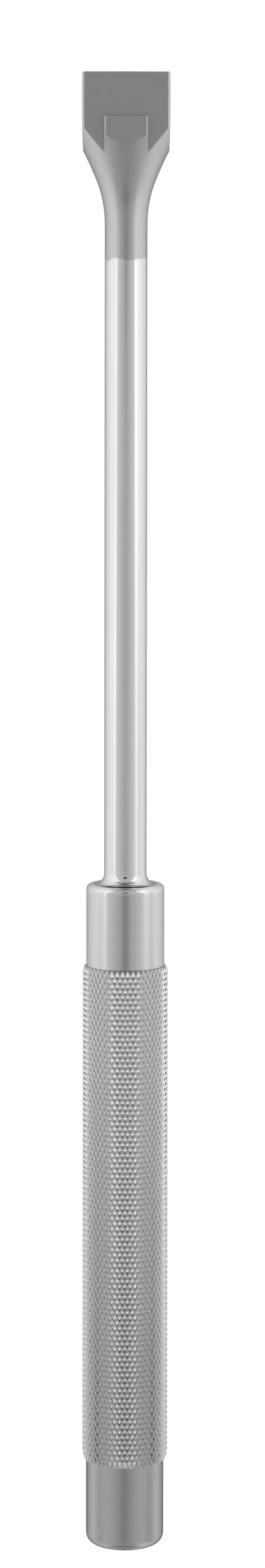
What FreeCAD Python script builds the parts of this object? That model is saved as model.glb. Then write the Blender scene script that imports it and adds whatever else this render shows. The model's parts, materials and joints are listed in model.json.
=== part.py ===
import FreeCAD, Part
import math
import os

from FreeCAD import Vector

# Surgical impactor, turned, knurled and milled in one piece from steel bar. All lengths are in mm.
# It lies along Y, with the impact head towards +Y and one boss of the head facing up.

# Lengths along the tool, from the impact face to the striking end
head_length = 32.2          # impact face to where the flare runs out into the shaft
shaft_length = 143.2        # to the plane of the collar's shoulder
collar_length = 18.25
grip_length = 110.1         # the knurled band
striking_length = 18.95     # the plain end that the mallet strikes

# Turned sizes
bar_diameter = 25.4
flare_far_radius = 75.0     # flatter arc of the flare, beside the head
flare_near_radius = 25.0    # tighter arc of the flare, beside the shaft
flare_near_turn = 22.0      # degrees that the tighter arc turns through
shaft_diameter = 9.25
shoulder_fillet = 1.9       # root of the shoulder, at the shaft
shoulder_rounding = 1.55    # rim of the shoulder
grip_diameter = 18.95       # over the points of the knurl
turned_step = 0.92          # depth of the collar and the striking end below the knurl's points
striking_rounding = 2.4

# Milled head
head_width = 18.9           # across the two sides, which are very slightly crowned
side_crown_radius = 400.0
side_crown_start = 5.5      # impact face to the widest place of the crown
plate_thickness = 15.5      # across the two broad flats
plate_corner = 0.5          # rounding of the four long corners
impact_edge = 0.3           # chamfer round the impact face
boss_start = 9.4            # impact face to the step up to each boss
boss_width = 9.1
boss_thickness = 20.1       # across the flat faces of the two bosses
boss_corner = 0.25          # rounding of each boss's long edges
boss_edge = 0.2             # chamfer along the step

# Diamond knurl, pressed in by two helical rollers of opposite hand
knurl_pitch = 1.75          # round the grip, from point to point
knurl_angle = 28.0          # degrees between each groove and the axis
knurl_depth = 0.5
knurl_run_out = 2.4         # length over which each end of the band is rounded down
knurl_end_step = 0.15       # height of the band's edge above the plain metal beside it

overall_length = head_length + shaft_length + collar_length + grip_length + striking_length
impact_y = overall_length / 2
flare_end_y = impact_y - head_length
shoulder_y = flare_end_y - shaft_length
grip_front_y = shoulder_y - collar_length
grip_back_y = grip_front_y - grip_length
strike_y = grip_back_y - striking_length

bar_radius = bar_diameter / 2
shaft_radius = shaft_diameter / 2
grip_radius = grip_diameter / 2
plain_radius = grip_radius - turned_step
axis_height = boss_thickness / 2

tool_axis = Vector(0, 1, 0)
tiny = 1e-6
close = 1e-3


def outline_point(y, radius):
    """A point of a turned outline, in the plane of the axis and X."""
    return Vector(radius, y, 0)


def arc_through(start, middle, end):
    return Part.Arc(start, middle, end).toShape()


def line(start, end):
    return Part.LineSegment(start, end).toShape()


def lies_at(shape, y):
    box = shape.BoundBox
    return abs(box.YMin - y) < close and abs(box.YMax - y) < close


def turned(edges):
    """Solid of revolution of an open outline that starts and ends on the axis."""
    outline = Part.Wire(edges)
    closing = line(outline.OrderedVertexes[-1].Point, outline.OrderedVertexes[0].Point)
    profile = Part.Face(Part.Wire(edges + [closing]))
    return profile.revolve(Vector(0, 0, 0), tool_axis, 360)


def flare_edges():
    """Two tangent arcs that open from the shaft to the bar's own size, and the bar left at the head."""
    near_turn = math.radians(flare_near_turn)

    def near_arc(turn):
        y = flare_end_y + flare_near_radius * math.sin(turn)
        return outline_point(y, shaft_radius + flare_near_radius * (1 - math.cos(turn)))

    meeting = near_arc(near_turn)

    def far_arc(turn):
        y = meeting.y + flare_far_radius * (math.sin(turn) - math.sin(near_turn))
        return outline_point(y, meeting.x + flare_far_radius * (math.cos(near_turn) - math.cos(turn)))

    far_turn = math.acos(math.cos(near_turn) - (bar_radius - meeting.x) / flare_far_radius)
    far_end = far_arc(far_turn)
    return [
        line(outline_point(impact_y, 0), outline_point(impact_y, bar_radius)),
        line(outline_point(impact_y, bar_radius), far_end),
        arc_through(far_end, far_arc((near_turn + far_turn) / 2), meeting),
        arc_through(meeting, near_arc(near_turn / 2), near_arc(0)),
    ]


def shoulder_edges():
    """The shaft, the filleted and rounded shoulder, and the collar as far as the knurled band."""
    half_turn = math.sin(math.radians(45))
    fillet_start = outline_point(shoulder_y + shoulder_fillet, shaft_radius)
    fillet_middle = outline_point(
        shoulder_y + shoulder_fillet * (1 - half_turn), shaft_radius + shoulder_fillet * (1 - half_turn)
    )
    fillet_end = outline_point(shoulder_y, shaft_radius + shoulder_fillet)
    rim_start = outline_point(shoulder_y, plain_radius - shoulder_rounding)
    rim_middle = outline_point(
        shoulder_y - shoulder_rounding * (1 - half_turn), plain_radius - shoulder_rounding * (1 - half_turn)
    )
    rim_end = outline_point(shoulder_y - shoulder_rounding, plain_radius)
    collar_end = outline_point(grip_front_y, plain_radius)
    return [
        line(outline_point(flare_end_y, shaft_radius), fillet_start),
        arc_through(fillet_start, fillet_middle, fillet_end),
        line(fillet_end, rim_start),
        arc_through(rim_start, rim_middle, rim_end),
        line(rim_end, collar_end),
        line(collar_end, outline_point(grip_front_y, 0)),
    ]


def plate_side():
    """Crowned side of the head, seen from above, from the impact face to the end of the flare."""
    widest_y = impact_y - side_crown_start

    def at(y):
        drop = side_crown_radius - math.sqrt(side_crown_radius**2 - (y - widest_y)**2)
        return outline_point(y, head_width / 2 - drop)

    return arc_through(at(impact_y), at(widest_y), at(flare_end_y))


def boss_side():
    half_width = boss_width / 2
    return line(outline_point(impact_y - boss_start, half_width), outline_point(flare_end_y, half_width))


def milled_bar(side, thickness, corner, end_chamfer):
    """A bar between one side and its mirror image, with rounded long corners and a chamfered front end."""
    other_side = side.mirror(Vector(0, 0, 0), Vector(1, 0, 0))
    ends = [line(one.Point, other.Point) for one, other in zip(side.Vertexes, other_side.Vertexes)]
    plan = Part.Face(Part.Wire(Part.__sortEdges__([side, other_side] + ends)))
    plan.translate(Vector(0, 0, -thickness / 2))
    bar = plan.extrude(Vector(0, 0, thickness))
    long_corners = [edge for edge in bar.Edges if edge.BoundBox.YLength > close]
    front_y = side.Vertexes[0].Point.y
    bar = bar.makeFillet(corner, long_corners)
    front_edges = [edge for edge in bar.Edges if lies_at(edge, front_y)]
    return bar.makeChamfer(end_chamfer, front_edges)


def front_part():
    """Head, shaft and collar: the turned blank, milled to a plate with a boss on each broad side."""
    blank = turned(flare_edges() + shoulder_edges())
    plate = milled_bar(plate_side(), plate_thickness, plate_corner, impact_edge)
    boss = milled_bar(boss_side(), boss_thickness, boss_corner, boss_edge)
    room = 2 * bar_radius
    below_head = Part.makeBox(
        2 * room, flare_end_y - grip_front_y, 2 * room, Vector(-room, grip_front_y, -room)
    )
    return blank.common(plate.fuse([boss, below_head]))


def striking_part():
    """The plain end behind the grip, with its rim rounded over."""
    half_turn = math.sin(math.radians(45))
    rim_start = outline_point(strike_y + striking_rounding, plain_radius)
    rim_middle = outline_point(
        strike_y + striking_rounding * (1 - half_turn), plain_radius - striking_rounding * (1 - half_turn)
    )
    rim_end = outline_point(strike_y, plain_radius - striking_rounding)
    return turned([
        line(outline_point(grip_back_y, 0), outline_point(grip_back_y, plain_radius)),
        line(outline_point(grip_back_y, plain_radius), rim_start),
        arc_through(rim_start, rim_middle, rim_end),
        line(rim_end, outline_point(strike_y, 0)),
    ])


def band_radius(from_end):
    """Radius over the knurl's points at a distance from the nearer end of the band."""
    drop = turned_step - knurl_end_step
    rounding = (knurl_run_out**2 + drop**2) / (2 * drop)
    short_of_full = max(0.0, knurl_run_out - from_end)
    return grip_radius - rounding + math.sqrt(rounding**2 - short_of_full**2)


def knurled_skin():
    """Facets of the diamond knurl: four to each pyramid, whose sides meet along the two sets of grooves."""
    starts = round(math.pi * grip_diameter / knurl_pitch)
    rows = round(grip_length * math.tan(math.radians(knurl_angle)) / knurl_pitch)
    columns = 2 * starts
    half_rows = 2 * rows
    points = []
    for row in range(half_rows + 1):
        y = grip_back_y + grip_length * row / half_rows
        top = band_radius(min(y - grip_back_y, grip_front_y - y))
        for column in range(columns):
            groove_crossing = (row + column) % 2 == 0
            inside_band = 0 < row < half_rows
            radius = top - knurl_depth if groove_crossing and inside_band else top
            turn = 2 * math.pi * column / columns
            points.append(Vector(radius * math.cos(turn), y, radius * math.sin(turn)))

    def at(column, row):
        return row * columns + column % columns

    facets = []
    for row in range(half_rows + 1):
        for column in range((row + 1) % 2, columns, 2):
            peak = at(column, row)
            if row < half_rows:
                facets.append((peak, at(column, row + 1), at(column + 1, row)))
                facets.append((peak, at(column - 1, row), at(column, row + 1)))
            if row > 0:
                facets.append((peak, at(column + 1, row), at(column, row - 1)))
                facets.append((peak, at(column, row - 1), at(column - 1, row)))
    skin = Part.Shape()
    skin.makeShapeFromMesh((points, facets), tiny, False)
    return skin


def step_face(skin_edges, plain_part, y, outward):
    """Ring-shaped flat between the knurled band and the plain metal beside it."""
    band_edge = Part.Wire(Part.__sortEdges__([edge for edge in skin_edges if lies_at(edge, y)]))
    plain_edge = Part.Wire([edge for edge in plain_part.Edges if lies_at(edge, y)])
    ring = Part.makeFace([band_edge, plain_edge], "Part::FaceMakerBullseye").Faces[0]
    if ring.normalAt(0, 0).dot(outward) < 0:
        ring.reverse()
    return ring


def impactor():
    front = front_part()
    back = striking_part()
    skin = knurled_skin()
    skin_edges = skin.Edges
    faces = skin.Faces
    for plain_part, y, outward in ((front, grip_front_y, tool_axis), (back, grip_back_y, -tool_axis)):
        faces.append(step_face(skin_edges, plain_part, y, outward))
        faces += [face for face in plain_part.Faces if not lies_at(face, y)]
    solid = Part.Solid(Part.Shell(faces))
    solid.translate(Vector(0, 0, axis_height))
    return solid


os.makedirs("parts", exist_ok=True)
part = impactor()
print(f"impactor: {len(part.Faces)} faces, {part.Volume / 1000:.2f} cm3, valid {part.isValid()}")
part.exportStep("parts/impactor.step")
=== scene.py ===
import json
import math

import bpy
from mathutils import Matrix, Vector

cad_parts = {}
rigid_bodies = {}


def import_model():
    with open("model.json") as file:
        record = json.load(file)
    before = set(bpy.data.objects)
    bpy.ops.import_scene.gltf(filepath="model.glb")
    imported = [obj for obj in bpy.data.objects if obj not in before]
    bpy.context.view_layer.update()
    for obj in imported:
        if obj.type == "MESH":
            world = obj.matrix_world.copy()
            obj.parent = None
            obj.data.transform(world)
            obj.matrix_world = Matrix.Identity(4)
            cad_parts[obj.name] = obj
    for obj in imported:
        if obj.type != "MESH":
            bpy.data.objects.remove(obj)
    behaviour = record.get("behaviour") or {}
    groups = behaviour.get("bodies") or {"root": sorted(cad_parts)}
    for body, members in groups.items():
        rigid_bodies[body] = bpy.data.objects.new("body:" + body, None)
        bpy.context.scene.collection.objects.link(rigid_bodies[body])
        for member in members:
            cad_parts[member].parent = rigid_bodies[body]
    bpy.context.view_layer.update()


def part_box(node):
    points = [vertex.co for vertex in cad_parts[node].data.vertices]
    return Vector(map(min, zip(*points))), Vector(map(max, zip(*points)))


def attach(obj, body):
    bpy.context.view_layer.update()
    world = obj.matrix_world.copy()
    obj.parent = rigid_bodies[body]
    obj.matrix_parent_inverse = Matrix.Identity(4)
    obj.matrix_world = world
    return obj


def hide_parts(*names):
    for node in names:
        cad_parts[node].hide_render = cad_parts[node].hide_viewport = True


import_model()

mm = 0.001
lowCorner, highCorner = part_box("impactor")
impactY = highCorner[1] / mm                             # place of the impact face on Y, in mm
axisHeight = (lowCorner[2] + highCorner[2]) / 2          # the tool's axis above the floor, in metres

slant = math.sqrt(0.5)                                   # either part of a unit length at 45 degrees
white = (1, 1, 1, 1)

# Every size of the tool is in mm. "Depth" is the distance behind the impact face, along the axis.


class Flow:
    # one value in a shader; an expression on it adds the Math nodes that work it out
    def __init__(self, sheet, socket):
        self.sheet = sheet
        self.socket = socket

    def maths(self, operation, first, second):
        return self.sheet.add("ShaderNodeMath", {"operation": operation}, {0: first, 1: second})

    def __add__(self, other):
        return self.maths("ADD", self, other)

    def __radd__(self, other):
        return self.maths("ADD", other, self)

    def __sub__(self, other):
        return self.maths("SUBTRACT", self, other)

    def __rsub__(self, other):
        return self.maths("SUBTRACT", other, self)

    def __mul__(self, other):
        return self.maths("MULTIPLY", self, other)

    def __rmul__(self, other):
        return self.maths("MULTIPLY", other, self)

    def absolute(self):
        return self.maths("ABSOLUTE", self, 0.0)


class Sheet:
    # the node sheet of one material or of the world
    def __init__(self, owner):
        owner.use_nodes = True
        self.owner = owner
        self.tree = owner.node_tree
        self.tree.nodes.clear()

    def add(self, kind, settings=None, sockets=None, output=0):
        node = self.tree.nodes.new(kind)
        for name, value in (settings or {}).items():
            if name == "stops":
                self.setStops(node.color_ramp, value)
            else:
                setattr(node, name, value)
        for name, value in (sockets or {}).items():
            if isinstance(value, Flow):
                self.tree.links.new(value.socket, node.inputs[name])
            else:
                node.inputs[name].default_value = value
        if len(node.outputs) == 0:
            return None
        return Flow(self, node.outputs[output])

    def setStops(self, ramp, stops):
        while len(ramp.elements) > 1:
            ramp.elements.remove(ramp.elements[0])
        for number, (place, level) in enumerate(stops):
            stop = ramp.elements[0] if number == 0 else ramp.elements.new(place)
            stop.position = place
            stop.color = (level, level, level, 1)

    def noise(self, place, stretch, detail, roughness=0.5):
        stretched = self.add("ShaderNodeVectorMath", {"operation": "MULTIPLY"}, {0: place, 1: stretch})
        texture = {"Vector": stretched, "Scale": 1.0, "Detail": detail, "Roughness": roughness}
        return self.add("ShaderNodeTexNoise", None, texture)

    def between(self, value, low, high, atLow=0.0, atHigh=1.0):
        # passes softly from one level to another while the value goes from low to high
        ends = {"Value": value, "From Min": low, "From Max": high, "To Min": atLow, "To Max": atHigh}
        return self.add("ShaderNodeMapRange", {"interpolation_type": "SMOOTHSTEP"}, ends)

    def place(self, kind="Object"):
        # where a point lies in the object, or for the world the way that it is seen in
        return self.add("ShaderNodeTexCoord", None, None, kind)

    def part(self, place, axis):
        # X, Y or Z of a place
        return self.add("ShaderNodeSeparateXYZ", None, {"Vector": place}, axis)

    def textured(self, place, look):
        # a look's colour and roughness with its noise textures on them, and the height these add up to
        levels = [look["colour"], look["roughness"], 0.0]
        for stretch, detail, noiseRoughness, *shares in look["textures"].values():
            texture = self.noise(place, stretch, detail, noiseRoughness) - 0.5
            levels = [level + texture * share if share else level for level, share in zip(levels, shares)]
        return levels

    def metal(self, level, roughness, height, look):
        grey = {"Red": level, "Green": level, "Blue": level}
        sockets = {
            "Base Color": self.add("ShaderNodeCombineColor", None, grey),
            "Roughness": roughness,
            "Normal": self.add("ShaderNodeBump", None, {"Height": height, "Distance": look["relief"]}),
            "Metallic": 1.0,
        }
        sockets.update(look["numbers"])
        self.finish(self.add("ShaderNodeBsdfPrincipled", None, sockets))
        return self.owner

    def glow(self, strength, colour=white):
        return self.add("ShaderNodeEmission", None, {"Color": colour, "Strength": strength})

    def finish(self, shader):
        self.add("ShaderNodeOutputMaterial", None, {"Surface": shader})


# the turned blank: bar, flare, slim shaft and collar
blank = {
    "barRadius": 12.7,
    "headLength": 32.2,           # impact face to where the flare runs out into the shaft
    "flareFarRadius": 75.0,       # flatter arc of the flare, beside the head
    "flareNearRadius": 25.0,      # tighter arc, beside the shaft
    "flareNearTurn": 22.0,        # degrees that the tighter arc turns through
    "shaftRadius": 4.625,
    "shaftLength": 143.4,
    "shoulderFillet": 2.2,        # root of the shoulder, at the shaft
    "shoulderRounding": 1.15,     # rim of the shoulder
    "collarRadius": 8.555,
    "collarLength": 18.05,
    "junctionGroove": 0.05,       # fine step left where plain metal meets the knurl
    "flareSteps": 24,             # rows of faces along each stretch
    "shaftSteps": 30,
    "collarSteps": 8,
    "roundingSteps": 8,
}
shoulderDepth = blank["headLength"] + blank["shaftLength"]
knurlDepth = shoulderDepth + blank["collarLength"]


def flareProfile():
    # radius of the blank and its slope at any depth, from the two arcs of the flare
    turn = math.radians(blank["flareNearTurn"])
    near = blank["flareNearRadius"]
    far = blank["flareFarRadius"]
    meetingAway = near * math.sin(turn)
    meetingRadius = blank["shaftRadius"] + near * (1 - math.cos(turn))
    farTurn = math.acos(math.cos(turn) - (blank["barRadius"] - meetingRadius) / far)

    def profile(depth):
        away = blank["headLength"] - depth
        if away <= 0:
            return blank["shaftRadius"], 0.0
        if away <= meetingAway:
            angle = math.asin(away / near)
            return blank["shaftRadius"] + near * (1 - math.cos(angle)), math.tan(angle)
        sine = (away - meetingAway) / far + math.sin(turn)
        if sine >= math.sin(farTurn):
            return blank["barRadius"], 0.0
        angle = math.asin(sine)
        return meetingRadius + far * (math.cos(turn) - math.cos(angle)), math.tan(angle)

    return profile


flareAt = flareProfile()

# the milled head: a plate with a raised boss on each broad side
head = {
    "halfWidth": 9.45,            # at the widest place of the sides
    "crownRadius": 400.0,         # the sides are very slightly crowned
    "crownStart": 5.5,            # depth of their widest place
    "halfThickness": 7.75,
    "corner": 0.6,                # rounding of the four long corners
    "impactEdge": 0.3,            # broken edge round the impact face
    "bossStart": 9.4,             # depth of the step up to each boss
    "bossHalfWidth": 4.55,
    "bossHalfThickness": 10.05,
    "bossCorner": 0.25,           # rounding of each boss's long edges
    "bossEdge": 0.2,              # rounding along the step
    "cutterCorner": 0.12,         # radius that the milling cutter leaves in the inner corners
    "brokenEdge": 0.1,            # half width of the softened edge where a milled face meets the flare
    "edgeHalvings": 50,           # halvings of the span in which that edge is looked for
    "sideSteps": 14,              # faces round one quarter of the section
    "cornerSteps": 4,
    "flatSteps": 8,
    "wallSteps": 8,
    "bossCornerSteps": 3,
    "topSteps": 9,
    "edgeSteps": 3,               # rows of faces along the head
    "plateSteps": 6,
    "bossSteps": 5,
}


def spread(start, end, count):
    return [start + (end - start) * number / count for number in range(count + 1)]


def quarterTurn(steps):
    return spread(0, math.radians(90), steps)


def cornerPoints(centreX, centreUp, radius, steps):
    # points of a rounded corner, with the way that each faces
    facings = [(math.cos(angle), math.sin(angle)) for angle in quarterTurn(steps)]
    return [(centreX + radius * facing[0], centreUp + radius * facing[1], facing) for facing in facings]


def quarterSection():
    # one quarter of the section through plate and boss, from the side round to the top of the boss
    width = head["halfWidth"]
    thickness = head["halfThickness"]
    corner = head["corner"]
    bossWidth = head["bossHalfWidth"]
    bossTop = head["bossHalfThickness"]
    bossCorner = head["bossCorner"]
    inner = head["cutterCorner"]
    outward, upward = (1.0, 0.0), (0.0, 1.0)
    side = [(width, up, outward) for up in spread(0, thickness - corner, head["sideSteps"])][:-1]
    plateCorner = cornerPoints(width - corner, thickness - corner, corner, head["cornerSteps"])
    across = spread(width - corner, bossWidth + inner, head["flatSteps"])
    flat = [(x, thickness, upward) for x in across][1:]
    half = inner * (1 - slant)
    foot = [(bossWidth + half, thickness + half, (slant, slant))]
    cornerX, cornerUp = bossWidth - bossCorner, bossTop - bossCorner
    heights = spread(thickness + inner, cornerUp, head["wallSteps"])
    wall = [(bossWidth, up, outward) for up in heights][:-1]
    bossEdge = cornerPoints(cornerX, cornerUp, bossCorner, head["bossCornerSteps"])
    top = [(x, bossTop, upward) for x in spread(cornerX, 0, head["topSteps"])][1:]
    return side + plateCorner + flat + foot + wall + bossEdge + top


def wholeSection():
    # the quarter and its mirror images, going once round from the side that faces +X
    quarter = quarterSection()
    left = [(-x, up, (-facing[0], facing[1])) for x, up, facing in reversed(quarter[:-1])]
    upper = quarter + left
    lower = [(x, -up, (facing[0], -facing[1])) for x, up, facing in reversed(upper[1:-1])]
    return upper + lower


def plateBelow(x, up):
    # where the line from the axis to a point of the section leaves the plate, and how the plate faces
    if abs(up) <= head["halfThickness"]:
        return None
    share = head["halfThickness"] / abs(up)
    return x * share, up * share, (0.0, math.copysign(1.0, up))


class Column:
    # one lengthwise line of the head, the flare and the shaft
    def __init__(self, point):
        self.x, self.up, self.facing = point
        self.plate = plateBelow(self.x, self.up) or point
        clear = head["bossHalfWidth"] + head["cutterCorner"]
        reach = head["halfWidth"] - head["corner"] - clear
        self.crownShare = min(1.0, max(0.0, (abs(self.x) - clear) / reach))
        self.edgeDepth = self.findEdge()
        x, up, facing = self.at(self.edgeDepth)
        self.turn = math.atan2(up, x)

    def crown(self, depth):
        # how far the crowned side lies inside its widest place, and the slope there
        away = depth - head["crownStart"]
        drop = head["crownRadius"] - math.sqrt(head["crownRadius"] ** 2 - away ** 2)
        return drop * self.crownShare, away / head["crownRadius"] * self.crownShare

    def at(self, depth, point=None, inset=0.0):
        # a point of the milled section at this depth, and the way that it faces: across, up and back
        x, up, facing = point or (self.x, self.up, self.facing)
        drop, slope = self.crown(depth)
        x -= math.copysign(drop, x)
        back = slope * abs(facing[0])
        return x - facing[0] * inset, up - facing[1] * inset, (facing[0], facing[1], back)

    def findEdge(self):
        # depth at which the flare becomes slimmer than the milled section
        near, far = 0.0, blank["headLength"]
        for halving in range(head["edgeHalvings"]):
            middle = (near + far) / 2
            x, up, facing = self.at(middle)
            if flareAt(middle)[0] > math.hypot(x, up):
                near = middle
            else:
                far = middle
        return near

    def turned(self, depth, radius, outward=1.0, back=0.0):
        # a point of a turned surface on this column
        across, up = math.cos(self.turn), math.sin(self.turn)
        return (depth, radius * across, radius * up, (across * outward, up * outward, back))

    def milled(self, depth, point=None, inset=0.0):
        x, up, facing = self.at(depth, point, inset)
        return (depth, x, up, facing)


class Skin:
    # gathers the points and faces of the one piece
    def __init__(self):
        self.points = []
        self.normals = []         # None where each face at the point faces its own way
        self.strips = []          # how far along the strip of the flat pattern each point lies
        self.turns = []           # how far round the tool each point lies
        self.grooves = []         # 0 in a groove of the knurl, 1 on its points
        self.faces = []
        self.finishes = []
        self.facings = []         # the way that each corner of a face faces, where the points don't say

    def point(self, depth, x, up, facing, strip, groove=1.0):
        self.points.append((x, up, depth))
        self.normals.append(facing)
        self.strips.append(strip)
        self.turns.append(math.atan2(up, x))
        self.grooves.append(groove)
        return len(self.points) - 1

    def face(self, corners, finish, facings=None):
        self.faces.append(corners)
        self.finishes.append(finish)
        self.facings.append(facings)

    def ring(self, places, before=None):
        # a closed row of points; its place on the strip follows the mean distance from the row before
        strip = 0.0
        if before:
            gaps = [
                math.dist(self.points[old], (x, up, depth))
                for old, (depth, x, up, facing) in zip(before, places)
            ]
            strip = self.strips[before[0]] + sum(gaps) / len(gaps)
        return [self.point(depth, x, up, facing, strip) for depth, x, up, facing in places]

    def join(self, front, back, finish):
        count = len(front)
        for number in range(count):
            following = (number + 1) % count
            self.face((front[number], front[following], back[following], back[number]), finish)

    def bridge(self, front, back, finish):
        # joins two rings of different counts with triangles
        wholeTurn = 2 * math.pi

        def inOrder(ring):
            return sorted(ring, key=lambda index: self.turns[index] % wholeTurn)

        def at(ring, number):
            # a point of the ring, and its turn counted on past the first time round
            index = ring[number % len(ring)]
            return index, self.turns[index] % wholeTurn + wholeTurn * (number // len(ring))

        first, second = inOrder(front), inOrder(back)
        i = j = 0
        while i < len(first) or j < len(second):
            here, there = at(first, i)[0], at(second, j)[0]
            nextHere, turnHere = at(first, i + 1)
            nextThere, turnThere = at(second, j + 1)
            if j >= len(second) or (i < len(first) and turnHere <= turnThere):
                self.face((here, nextHere, there), finish)
                i += 1
            else:
                self.face((here, nextThere, there), finish)
                j += 1

    def cap(self, ring, depth, facing, finish):
        # a flat round end
        middle = self.point(depth, 0.0, 0.0, (0.0, 0.0, facing), self.strips[ring[0]])
        count = len(ring)
        for number in range(count):
            pair = [ring[number], ring[(number + 1) % count]]
            if facing < 0:
                pair.reverse()
            self.face((middle, pair[0], pair[1]), finish)


frontFinish, collarFinish, knurlFinish, endFinish = range(4)


def impactEdgeRows(columns):
    # the broken edge round the impact face
    edge = head["impactEdge"]
    rows = []
    for angle in quarterTurn(head["edgeSteps"]):
        across = math.sin(angle)
        row = []
        for column in columns:
            place = column.milled(edge * (1 - math.cos(angle)), column.plate, edge * (1 - across))
            facing = place[3]
            row.append(place[:3] + ((facing[0] * across, facing[1] * across, -math.cos(angle)),))
        rows.append(row)
    return rows


def plateRows(columns):
    depths = spread(head["impactEdge"], head["bossStart"] - head["cutterCorner"], head["plateSteps"])[1:]
    return [[column.milled(depth, column.plate) for column in columns] for depth in depths]


def bossStepRows(columns):
    # the step up to each boss; on the other columns the same rows carry the plate on
    start = head["bossStart"]
    inner = head["cutterCorner"]
    edge = head["bossEdge"]
    bend, steep = 0.3, 0.7        # middle of a rounding: share of its size there, and how steep it is
    leastStep = 3 * edge          # a column that rises less than this has no step
    # of each row: depth, height over the plate, or over the boss's top where it isn't above 0, and steepness
    stages = (
        (start - inner * bend, bend * inner, steep),
        (start, inner, 1.0),
        (start, -edge, 1.0),
        (start + edge * bend, -edge * bend, steep),
        (start + edge, 0.0, 0.0),
    )
    rows = []
    for number, (depth, rise, front) in enumerate(stages):
        row = []
        for column in columns:
            plateX, plateUp, plateFacing = column.plate
            whole = math.hypot(column.x - plateX, column.up - plateUp)
            if whole < leastStep:
                # no step here, so the rows share the small rise out evenly
                share = (number + 1) / len(stages)
                placeDepth = start - inner + (edge + inner) * share
                onBoss, steepness = number > len(stages) // 2, 0.0
            else:
                share = (rise if rise > 0 else whole + rise) / whole
                placeDepth = depth
                onBoss, steepness = rise <= 0, front
            facing = column.facing if onBoss else plateFacing
            point = (plateX + (column.x - plateX) * share, plateUp + (column.up - plateUp) * share, facing)
            tilted = (facing[0] * (1 - steepness), facing[1] * (1 - steepness), -steepness)
            row.append(column.milled(placeDepth, point)[:3] + (tilted,))
        rows.append(row)
    return rows


def millingRows(columns):
    # from the step to the edge where each column leaves the milled faces
    start = head["bossStart"] + head["bossEdge"]
    edge = head["brokenEdge"]
    return [
        [column.milled(start + (column.edgeDepth - edge - start) * share) for column in columns]
        for share in spread(0.0, 1.0, head["bossSteps"])[1:]
    ]


def flareRows(columns):
    # first row just past the softened edge, then on to where the shaft begins
    rows = []
    steps = blank["flareSteps"]
    for number in range(steps + 1):
        row = []
        for column in columns:
            start = column.edgeDepth + head["brokenEdge"]
            depth = start + (blank["headLength"] - start) * number / steps
            radius, slope = flareAt(depth)
            row.append(column.turned(depth, radius, 1.0, slope))
        rows.append(row)
    return rows


def shaftRows(columns):
    depths = spread(blank["headLength"], shoulderDepth - blank["shoulderFillet"], blank["shaftSteps"])[1:]
    return [[column.turned(depth, blank["shaftRadius"]) for column in columns] for depth in depths]


def filletRows(columns):
    fillet = blank["shoulderFillet"]
    rows = []
    for angle in quarterTurn(blank["roundingSteps"])[1:]:
        depth = shoulderDepth - fillet * (1 - math.sin(angle))
        radius = blank["shaftRadius"] + fillet * (1 - math.cos(angle))
        rows.append([column.turned(depth, radius, math.cos(angle), -math.sin(angle)) for column in columns])
    return rows


def rimRows(columns):
    # the flat shoulder and its rounded rim
    rounding = blank["shoulderRounding"]
    rows = []
    for angle in quarterTurn(blank["roundingSteps"]):
        depth = shoulderDepth + rounding * (1 - math.cos(angle))
        radius = blank["collarRadius"] - rounding * (1 - math.sin(angle))
        rows.append([column.turned(depth, radius, math.sin(angle), -math.cos(angle)) for column in columns])
    return rows


def collarRows(columns):
    groove = blank["junctionGroove"]
    start = shoulderDepth + blank["shoulderRounding"]
    depths = spread(start, knurlDepth - 2 * groove, blank["collarSteps"])[1:]
    rows = [[column.turned(depth, blank["collarRadius"]) for column in columns] for depth in depths]
    grooveRadius = blank["collarRadius"] - groove
    rows.append([column.turned(knurlDepth, grooveRadius, slant, slant) for column in columns])
    return rows


# the diamond knurl, two sets of helical grooves of opposite hand
knurl = {
    "radius": 9.475,
    "length": 110.1,
    "starts": 48,
    "diamonds": 47.5,             # diamonds along the band
    "depth": 0.48,
    "lines": (0.0, 0.12, 0.5, 0.88),   # bottom of a groove, foot of its wall, peak, foot of the next
    "levels": (0.0, 0.12, 1.0, 0.12),  # height at each of these lines
    "runOut": (1.5, 2.4),         # length over which the front and the back end are rounded down
    "endStep": (0.32, 0.15),      # height of the band's two edges above the plain metal
}


def bandRadius(fromFront):
    # radius over the knurl's points, rounded down at both ends of the band
    radii = []
    fromEnds = (fromFront, knurl["length"] - fromFront)
    for fromEnd, runOut, step in zip(fromEnds, knurl["runOut"], knurl["endStep"]):
        drop = knurl["radius"] - blank["collarRadius"] - step
        rounding = (runOut ** 2 + drop ** 2) / (2 * drop)
        short = max(0.0, runOut - fromEnd)
        radii.append(knurl["radius"] - rounding + math.sqrt(rounding ** 2 - short ** 2))
    return min(radii)


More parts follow.
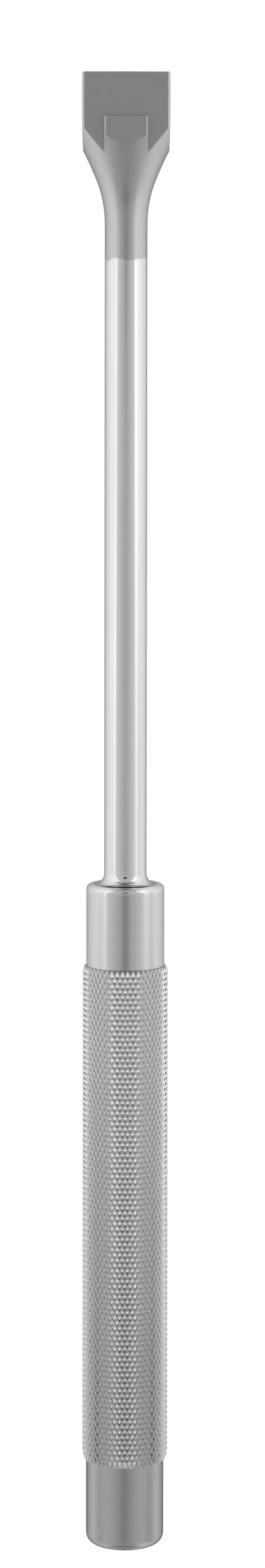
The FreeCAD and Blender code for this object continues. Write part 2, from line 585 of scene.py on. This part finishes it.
def addKnurl(skin, startStrip):
    # a net of points along both sets of helical lines; returns the rings at its two ends
    lines = knurl["lines"]
    levels = knurl["levels"]
    perSpacing = len(lines)
    perTurn = perSpacing * knurl["starts"]
    spacings = round(2 * knurl["diamonds"])
    crossings = spacings * perSpacing
    floorRadius = knurl["radius"] - knurl["depth"]
    halfAround = math.pi * knurl["radius"] / knurl["starts"]
    halfAlong = knurl["length"] / spacings
    diagonal = math.hypot(halfAround, halfAlong)
    wallWidth = (lines[2] - lines[1]) * 2 * halfAround * halfAlong / diagonal
    wallSlope = math.atan(knurl["depth"] * (levels[2] - levels[1]) / wallWidth)

    def along(line):
        return line // perSpacing + lines[line % perSpacing]

    def wallFacing(index, line, leftHand, rising):
        # straight out at the bottom of a groove, and square to its wall elsewhere
        slope = 0.0 if line % perSpacing == 0 else wallSlope
        lean = math.sin(slope) * (-1 if rising else 1)
        around = math.cos(skin.turns[index]), math.sin(skin.turns[index])
        sideways = lean * halfAlong / diagonal
        back = lean * halfAround / diagonal * (1 if leftHand else -1)
        return (
            around[0] * math.cos(slope) - around[1] * sideways,
            around[1] * math.cos(slope) + around[0] * sideways,
            back,
        )

    net = []
    for line in range(perTurn):
        strand = []
        for crossed in range(crossings + 1):
            right, left = along(line), along(line - crossed)
            fromFront = knurl["length"] - knurl["length"] * (right - left) / spacings
            turn = math.pi * (right + left) / knurl["starts"]
            height = min(levels[line % perSpacing], levels[(line - crossed) % perSpacing])
            radius = min(bandRadius(fromFront), floorRadius + knurl["depth"] * height)
            x, up = radius * math.cos(turn), radius * math.sin(turn)
            strand.append(skin.point(knurlDepth + fromFront, x, up, None, startStrip + fromFront, height))
        net.append(strand)

    def facet(first, second, corners):
        # a triangle of the net, on the wall of whichever groove is the deeper one there
        rightLevel = sum(levels[right % perSpacing] for right, left in corners)
        leftLevel = sum(levels[left % perSpacing] for right, left in corners)
        leftHand = leftLevel < rightLevel
        rising = (second if leftHand else first) % perSpacing < perSpacing / 2
        indices = [net[right % perTurn][right - left] for right, left in corners]
        facings = [
            wallFacing(index, left if leftHand else right, leftHand, rising)
            for index, (right, left) in zip(indices, corners)
        ]
        skin.face(tuple(indices), knurlFinish, facings)

    for line in range(perTurn):
        for crossed in range(crossings + 1):
            first, second = line, line - crossed
            left, right = (first, second), (first + 1, second + 1)
            upper, lower = (first + 1, second), (first, second + 1)
            if crossed == crossings:
                facet(first, second, (left, right, lower))
            elif crossed == 0:
                facet(first, second, (left, upper, right))
            elif first % perSpacing == second % perSpacing:
                facet(first, second, (left, upper, right))
                facet(first, second, (left, right, lower))
            else:
                facet(first, second, (left, upper, lower))
                facet(first, second, (upper, right, lower))
    return [strand[crossings] for strand in net], [strand[0] for strand in net]


# the plain striking end
strikingEnd = {"length": 18.95, "radius": 8.555, "rounding": 2.4, "plainSteps": 8, "roundingSteps": 12}


def addStrikingEnd(skin, lastRing):
    # the plain end behind the knurl, with its rim rounded over
    radius = strikingEnd["radius"]
    rounding = strikingEnd["rounding"]
    start = knurlDepth + knurl["length"]
    end = start + strikingEnd["length"]
    turns = [skin.turns[index] for index in lastRing]

    def row(depth, radius, outward, back):
        return [
            (depth, radius * math.cos(turn), radius * math.sin(turn),
             (math.cos(turn) * outward, math.sin(turn) * outward, back))
            for turn in turns
        ]

    groove = blank["junctionGroove"]
    rows = [row(start, radius - groove, slant, -slant)]
    for place in spread(start + 2 * groove, end - rounding, strikingEnd["plainSteps"]):
        rows.append(row(place, radius, 1.0, 0.0))
    for angle in quarterTurn(strikingEnd["roundingSteps"])[1:]:
        place = end - rounding * (1 - math.sin(angle))
        rows.append(row(place, radius - rounding * (1 - math.cos(angle)), math.cos(angle), math.sin(angle)))
    before = lastRing
    for places in rows:
        ring = skin.ring(places, before)
        skin.join(before, ring, endFinish)
        before = ring
    skin.cap(before, end, 1.0, endFinish)


def flatPattern(mesh, skin):
    # the surface laid out for baking: two strips side by side, and the two round ends
    # sizes and places as shares of the pattern
    layout = {
        "stripWidth": 0.395,
        "margin": 0.008,
        "endSize": 0.17,              # the round ends lie beside the strips
        "endAcross": 0.905,
        "endUp": (0.12, 0.34),
    }
    seam = 0.25                       # turns begin at +X, and the strips are cut a quarter turn before it
    length = max(skin.strips)
    halfway = min((strip for strip in skin.strips if strip > length / 2), default=length)
    scale = (1 - 2 * layout["margin"]) / max(halfway, length - halfway)
    uvs = mesh.uv_layers.new(name="OFBake").data
    widest = max(math.hypot(x, up) for x, up, depth in skin.points)
    for polygon, corners in zip(mesh.polygons, skin.faces):
        flatEnd = any(skin.points[index][0] == skin.points[index][1] == 0.0 for index in corners)
        second = max(skin.strips[index] for index in corners) > halfway
        shares = [(skin.turns[index] / (2 * math.pi) + seam) % 1.0 for index in corners]
        wraps = max(shares) - min(shares) > 0.5
        for loop, index, share in zip(polygon.loop_indices, corners, shares):
            x, up, depth = skin.points[index]
            if flatEnd:
                size = layout["endSize"] / 2 / widest
                place = (layout["endAcross"] + x * size, layout["endUp"][int(second)] + up * size)
            else:
                across = (share + 1.0 if wraps and share < 0.5 else share) * layout["stripWidth"]
                left = layout["margin"] + (layout["stripWidth"] + layout["margin"]) * second
                place = (left + across, layout["margin"] + (skin.strips[index] - halfway * second) * scale)
            uvs[loop].uv = place


def impactorMesh(skin):
    # The mesh has the tool's axis on its own Z, so that turned grain circles it.
    mesh = bpy.data.meshes.new("impactor_body")
    places = [(x * mm, -up * mm, (impactY - depth) * mm) for x, up, depth in skin.points]
    mesh.from_pydata(places, [], skin.faces)
    for makeMaterial in (frontSteel, collarSteel, knurlSteel, endSteel):
        mesh.materials.append(makeMaterial())
    mesh.polygons.foreach_set("material_index", skin.finishes)
    mesh.polygons.foreach_set("use_smooth", [True] * len(skin.faces))
    grooves = mesh.attributes.new("grooveHeight", "FLOAT", "POINT")
    grooves.data.foreach_set("value", skin.grooves)
    flatPattern(mesh, skin)
    mesh.update()
    normals = []
    for polygon, corners, facings in zip(mesh.polygons, skin.faces, skin.facings):
        for facing in facings or [skin.normals[index] for index in corners]:
            if facing is None:
                normals.append(tuple(polygon.normal))
            else:
                length = math.hypot(*facing)
                normals.append((facing[0] / length, -facing[1] / length, -facing[2] / length))
    mesh.normals_split_custom_set(normals)
    return mesh


def buildImpactor():
    columns = [Column(point) for point in wholeSection()]
    skin = Skin()
    stages = (
        (impactEdgeRows, frontFinish), (plateRows, frontFinish), (bossStepRows, frontFinish),
        (millingRows, frontFinish), (flareRows, frontFinish), (shaftRows, frontFinish),
        (filletRows, frontFinish), (rimRows, collarFinish), (collarRows, collarFinish),
    )
    before = None
    for makeRows, finish in stages:
        for places in makeRows(columns):
            ring = skin.ring(places, before)
            if before:
                skin.join(before, ring, finish)
            else:
                skin.cap(ring, 0.0, -1.0, finish)
            before = ring
    print(f"head, flare, shaft and collar: {len(skin.faces)} faces")
    frontRing, backRing = addKnurl(skin, skin.strips[before[0]] + knurl["endStep"][0])
    skin.bridge(before, frontRing, collarFinish)
    print(f"with the knurl: {len(skin.faces)} faces")
    addStrikingEnd(skin, backRing)

    mesh = impactorMesh(skin)
    piece = bpy.data.objects.new("impactor_body", mesh)
    piece.location = (0, 0, axisHeight)
    piece.rotation_euler = (math.radians(-90), 0, 0)     # lays the tool's axis along Y
    bpy.context.scene.collection.objects.link(piece)
    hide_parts("impactor")
    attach(piece, "root")
    print(f"impactor_body: {len(mesh.vertices)} points, {len(mesh.polygons)} faces")


def toolPlace(sheet):
    # the place on the tool, and its depth behind the impact face in mm
    place = sheet.place()
    return place, impactY - sheet.part(place, "Z") * (1 / mm)


# In every look, a texture has its fineness along X, Y and the tool's axis in cells a metre, its detail, the
# roughness of the noise, and its shares in the metal's colour, its roughness and its relief.


def frontSteel():
    # head and neck left satin from the blasting, shaft polished up to a slightly wavy line
    look = {
        "lineDepth": 39.7, "lineSoft": 0.25,                   # where the polish begins, and how softly
        "lineWave": 1.1,                                       # how far that line waves to either side
        "waveStretch": (520, 520, 40), "waveDetail": 1.0,
        "satin": {"colour": 0.56, "roughness": 0.36, "textures": {
            "mottle": ((700, 700, 700), 4.0, 0.6, 0.025, 0.05, 0.5),
            "grain": ((5200, 5200, 5200), 2.0, 0.5, 0.0, 0.03, 0.4),
        }},
        "polished": {"colour": 0.78, "roughness": 0.15, "textures": {
            "streaks": ((2600, 2600, 12), 3.0, 0.6, 0.05, 0.10, 0.6),
        }},
        "filletGloss": 0.08,          # how much smoother the fillet at the shoulder is
        "glossFrom": 3.2, "glossFull": 2.4,                    # distances ahead of the shoulder
        "relief": 0.0000035,          # height of the textures, in metres
        "numbers": {"Specular Tint": (0.35, 0.35, 0.35, 1)},   # the metal darkens towards its outline
    }
    sheet = Sheet(bpy.data.materials.new("satinAndPolishedSteel"))
    place, depth = toolPlace(sheet)
    wave = (sheet.noise(place, look["waveStretch"], look["waveDetail"]) - 0.5) * (2 * look["lineWave"])
    line, soft = look["lineDepth"], look["lineSoft"]
    polished = sheet.between(depth + wave, line - soft, line + soft)
    satin = 1 - polished
    dull = sheet.textured(place, look["satin"])
    bright = sheet.textured(place, look["polished"])
    colour, roughness, height = [satin * first + polished * second for first, second in zip(dull, bright)]
    buffed = sheet.between(depth, shoulderDepth - look["glossFrom"], shoulderDepth - look["glossFull"])
    return sheet.metal(colour, roughness - buffed * look["filletGloss"], height, look)


def collarSteel():
    # fine turning lines round the collar
    look = {
        "colour": 0.69, "roughness": 0.25, "textures": {
            "lines": ((30, 30, 3800), 3.0, 0.7, 0.14, 0.14, 1.0),
            "bands": ((25, 25, 900), 2.0, 0.5, 0.06, 0.08, 0.5),
        },
        "rimBright": 0.06, "rimGloss": 0.15,    # how much paler and smoother the rim of the shoulder is
        "rimFull": 0.9, "rimEnd": 2.2,          # distances behind the shoulder
        "relief": 0.000006,
        "numbers": {
            "Specular Tint": (0.55, 0.55, 0.55, 1), "Anisotropic": 0.7, "Anisotropic Rotation": 0.25,
        },
    }
    sheet = Sheet(bpy.data.materials.new("turnedSteel"))
    place, depth = toolPlace(sheet)
    rim = sheet.between(depth, shoulderDepth + look["rimFull"], shoulderDepth + look["rimEnd"], 1.0, 0.0)
    colour, roughness, height = sheet.textured(place, look)
    return sheet.metal(colour + rim * look["rimBright"], roughness - rim * look["rimGloss"], height, look)


def knurlSteel():
    # pressed diamonds, burnished in the grooves and on the points, with painted shade darkening the band
    # towards its back end
    look = {
        "colour": 0.62, "roughness": 0.16, "textures": {
            "speckle": ((3500, 3500, 3500), 2.0, 0.5, 0.05, 0.08, 1.0),
            "drift": ((120, 120, 60), 2.0, 0.5, 0.05, 0.05, 0.0),
        },
        # painted shade, standing in for the light falling off towards the back of the band
        "paintedBackShade": 0.14,                      # how much darker the back end of the band is
        "grooveHeights": (0.05, 0.2),           # heights over which the burnish of the grooves ends
        "pointHeights": (0.3, 0.85),            # and over which that of the points begins
        "grooveBright": 0.2, "pointBright": 0.22,
        "burnish": 0.05,                        # how much smoother both are
        "relief": 0.00001,
        "numbers": {"Specular Tint": (0.9, 0.9, 0.9, 1)},
    }
    sheet = Sheet(bpy.data.materials.new("knurledSteel"))
    place, depth = toolPlace(sheet)
    grooveHeight = sheet.add("ShaderNodeAttribute", {"attribute_name": "grooveHeight"}, None, "Fac")
    groove = sheet.between(grooveHeight, *look["grooveHeights"], 1.0, 0.0)
    point = sheet.between(grooveHeight, *look["pointHeights"])
    along = sheet.between(depth, knurlDepth, knurlDepth + knurl["length"])
    colour, roughness, height = sheet.textured(place, look)
    # painted shade: the colour darkens from the front to the back end of the band
    colour = colour - along * look["paintedBackShade"] + groove * look["grooveBright"] + point * look["pointBright"]
    return sheet.metal(colour, roughness - (groove + point) * look["burnish"], height, look)


def endSteel():
    # the striking end is satin over faint turning lines
    look = {
        "colour": 0.54, "roughness": 0.37, "textures": {
            "lines": ((40, 40, 3000), 3.0, 0.6, 0.05, 0.08, 1.0),
            "mottle": ((600, 600, 600), 4.0, 0.6, 0.06, 0.08, 0.0),
            "grain": ((5200, 5200, 5200), 2.0, 0.5, 0.0, 0.0, 1.0),
        },
        "relief": 0.000006,
        "numbers": {"Specular Tint": (0.15, 0.15, 0.15, 1)},
    }
    sheet = Sheet(bpy.data.materials.new("satinStrikingEnd"))
    return sheet.metal(*sheet.textured(sheet.place(), look), look)


# pale floor, side panels, dark ovals far above and a grey world
studio = {
    "floorSize": 8.0,
    "floorColour": 0.8,
    "floorGlow": 0.78,                # what the camera sees on top of the lit floor
    "floorMirrored": 0.45,            # the same for the reflections in the tool
    # painted shadow and shade in the floor's reflections: the glow is taken away along the tool's axis and
    # beyond the head, and the floor is dark there
    "paintedShadowEdges": (0.001, 0.005),     # distance from the axis over which that begins
    "paintedShadeAhead": (0.3, 0.7),         # places on Y between which it ends beyond the head
    "paintedShadowColour": 0.1,                  # the floor's colour in reflections where it doesn't glow
    "skyTop": 0.46,                   # the world straight up
    "skySides": 0.22,                 # added evenly towards either side
    "skyLow": 0.35,                   # added to that low down
    "skyBehind": 0.06,                # taken off towards the striking end
    # where it falls off: the Y of the direction, from back to front, and the share that is left
    "sidesEnd": (-0.5, 0.0, 0.25),    # of what is added at the sides, towards the striking end
    "skyEnd": (-0.9, -0.86, 0.3),     # of the whole, far behind the striking end
    "skyFront": (0.88, 0.96, 0.4),    # and far in front of the head
    "panelAway": 0.32,                # distance of the panels from the tool, in metres
    "panelFoot": 0.001,               # height of a lower edge that stands on the floor
    "fades": {                        # share of a panel's brightness at places on Y, from back to front
        "left": ((-0.36, 0.1), (-0.28, 0.28), (-0.2, 0.45), (-0.1, 0.8), (0.0, 1.0), (0.5, 1.0)),
        "right": (
            (-0.36, 0.1), (-0.28, 0.28), (-0.2, 0.4), (-0.1, 0.7), (-0.03, 0.82), (0.06, 1.0), (0.5, 1.0),
        ),
        "even": ((-0.8, 1.0), (-0.4, 1.0)),
    },
    # side, angles of the lower and the upper edge from straight up as the tool's middle sees them, rise
    # towards the head in metres a metre, brightness and fade
    "panels": {
        "left_panel": (-1, 90, 65, 0.4, 1.06, "left"),
        "left_strip": (-1, 63, 53.5, 0.4, 1.3, "left"),
        "right_panel": (1, 90, 75, 0.4, 1.05, "right"),
        "right_upper_panel": (1, 75, 52, 0.4, 1.3, "right"),
        "left_back_panel": (-1, 90, 45, 0.0, 0.8, "even"),
        "right_back_panel": (1, 90, 45, 0.0, 1.0, "even"),
    },
    "shadeLevel": 0.05,
    "shadeSides": 48,
    # dark ovals above: middle, and half their width and length
    "shades": {
        "head_shade": ((0.0, 0.63, 3.0), 0.6, 0.42),
        "far_shade": ((0.0, 1.0, 3.01), 0.5, 0.3),
        "back_shade": ((0.0, -0.37, 1.0), 0.26, 0.13),
        "flare_shade": ((0.0, -0.6, 2.0), 0.36, 0.2),
    },
}


def sheetObject(name, corners, material):
    mesh = bpy.data.meshes.new(name)
    mesh.from_pydata(corners, [], [tuple(range(len(corners)))])
    mesh.materials.append(material)
    plane = bpy.data.objects.new(name, mesh)
    bpy.context.scene.collection.objects.link(plane)
    return plane


def buildFloor():
    # near white to the camera, and darker in reflections from where the tool covers it: a painted shadow
    # along the tool's axis, and painted shade beyond the head
    half = studio["floorSize"] / 2
    sheet = Sheet(bpy.data.materials.new("paleFloor"))
    camera, glossy, through = [
        sheet.add("ShaderNodeLightPath", None, None, name)
        for name in ("Is Camera Ray", "Is Glossy Ray", "Is Transmission Ray")
    ]
    place = sheet.place()
    # painted shadow: in reflections the glow is taken away along the tool's axis and beyond the head, and
    # there the floor is painted dark
    beside = sheet.between(sheet.part(place, "X").absolute(), *studio["paintedShadowEdges"])
    clear = beside * sheet.between(sheet.part(place, "Y"), *studio["paintedShadeAhead"], 1.0, 0.0)
    seen = (camera + through) * studio["floorGlow"] + glossy * clear * studio["floorMirrored"]
    pale, dim = [
        sheet.add("ShaderNodeBsdfDiffuse", None, {"Color": (studio[name],) * 3 + (1,)})
        for name in ("floorColour", "paintedShadowColour")
    ]
    lit = sheet.add("ShaderNodeMixShader", None, {"Fac": glossy * (1 - clear), 1: pale, 2: dim})
    sheet.finish(sheet.add("ShaderNodeAddShader", None, {0: lit, 1: sheet.glow(seen)}))
    corners = [(-half, -half, 0), (half, -half, 0), (half, half, 0), (-half, half, 0)]
    sheetObject("floor", corners, sheet.owner)


def panelGlow(name, level, fade):
    # a panel of this brightness, with its fade along Y
    back, front = fade[0][0], fade[-1][0]
    sheet = Sheet(bpy.data.materials.new(name))
    length = front - back
    stops = [((y - back) / length, share) for y, share in fade]
    along = sheet.part(sheet.place(), "Y")
    faded = sheet.add("ShaderNodeValToRGB", {"stops": stops}, {"Fac": (along - back) * (1 / length)})
    sheet.finish(sheet.glow(level, faded))
    return sheet.owner


def panelHeight(angle, rise, y):
    # height of a panel's edge at this angle; one at 90 degrees stands on the floor, the others above it
    foot = studio["panelFoot"]
    if angle == 90:
        return foot
    return max(2 * foot, axisHeight + studio["panelAway"] / math.tan(math.radians(angle)) + rise * y)


def buildPanels():
    for name, (side, lowAngle, highAngle, rise, level, fadeName) in studio["panels"].items():
        fade = studio["fades"][fadeName]
        away, back, front = side * studio["panelAway"], fade[0][0], fade[-1][0]
        edges = ((back, lowAngle), (front, lowAngle), (front, highAngle), (back, highAngle))
        corners = [(away, y, panelHeight(angle, rise, y)) for y, angle in edges]
        panel = sheetObject(name, corners, panelGlow(name + "_glow", level, fade))
        panel.visible_camera = False


def buildShades():
    dark = Sheet(bpy.data.materials.new("darkShade"))
    dark.finish(dark.glow(studio["shadeLevel"]))
    turns = spread(0, 2 * math.pi, studio["shadeSides"])[:-1]
    for name, ((x, y, z), halfWidth, halfLength) in studio["shades"].items():
        rim = [(x + halfWidth * math.cos(turn), y + halfLength * math.sin(turn), z) for turn in turns]
        sheetObject(name, rim, dark.owner).visible_camera = False


def buildSky():
    # a grey world that lights the tool, and is white to the camera
    world = bpy.data.worlds.new("studioWorld")
    bpy.context.scene.world = world
    sky = Sheet(world)
    direction = sky.place("Generated")
    across = sky.part(direction, "X").absolute()
    along = sky.part(direction, "Y")

    def fallen(level, ends, atLow, atHigh):
        return level * sky.between(along, ends[0], ends[1], atLow, atHigh)

    sides = across * studio["skySides"] + across * across * across * studio["skyLow"]
    sides = fallen(sides, studio["sidesEnd"], studio["sidesEnd"][2], 1.0)
    level = studio["skyTop"] + sides + along * studio["skyBehind"]
    level = fallen(level, studio["skyEnd"], studio["skyEnd"][2], 1.0)
    level = fallen(level, studio["skyFront"], 1.0, studio["skyFront"][2])
    camera = sky.add("ShaderNodeLightPath", None, None, "Is Camera Ray")
    air = sky.add("ShaderNodeBackground", None, {"Color": white, "Strength": camera + (1 - camera) * level})
    sky.add("ShaderNodeOutputWorld", None, {"Surface": air})


def buildStudio():
    buildFloor()
    buildPanels()
    buildShades()
    buildSky()
    print("studio: floor, panels, shades and world")


# the camera looks down on the tool from the photograph's place
view = {
    "imageHeight": 2560,
    "focalPixels": 6626,
    "sensorHeight": 36.0,
    "place": (0.0014, 0.11, 0.89005),
    "tilt": 4.754,                # degrees from straight down, towards the striking end
    "roll": 0.075,
    "shiftPixels": -218,          # the frame is cut from the lower part of the lens's view
    "nearest": 0.01,              # what the camera sees begins and ends this far away
    "farthest": 20,
}


def buildCamera():
    lens = bpy.data.cameras.new("camera")
    lens.sensor_fit = "VERTICAL"
    lens.sensor_height = view["sensorHeight"]
    lens.lens = view["sensorHeight"] * view["focalPixels"] / view["imageHeight"]
    lens.shift_y = view["shiftPixels"] / view["imageHeight"]
    lens.clip_start = view["nearest"]
    lens.clip_end = view["farthest"]
    camera = bpy.data.objects.new("camera", lens)
    camera.location = view["place"]
    camera.rotation_euler = (math.radians(-view["tilt"]), 0, math.radians(view["roll"]))
    bpy.context.scene.collection.objects.link(camera)
    bpy.context.scene.camera = camera
    print("camera set")


bpy.context.scene.view_settings.view_transform = "Standard"
buildCamera()
buildStudio()
buildImpactor()
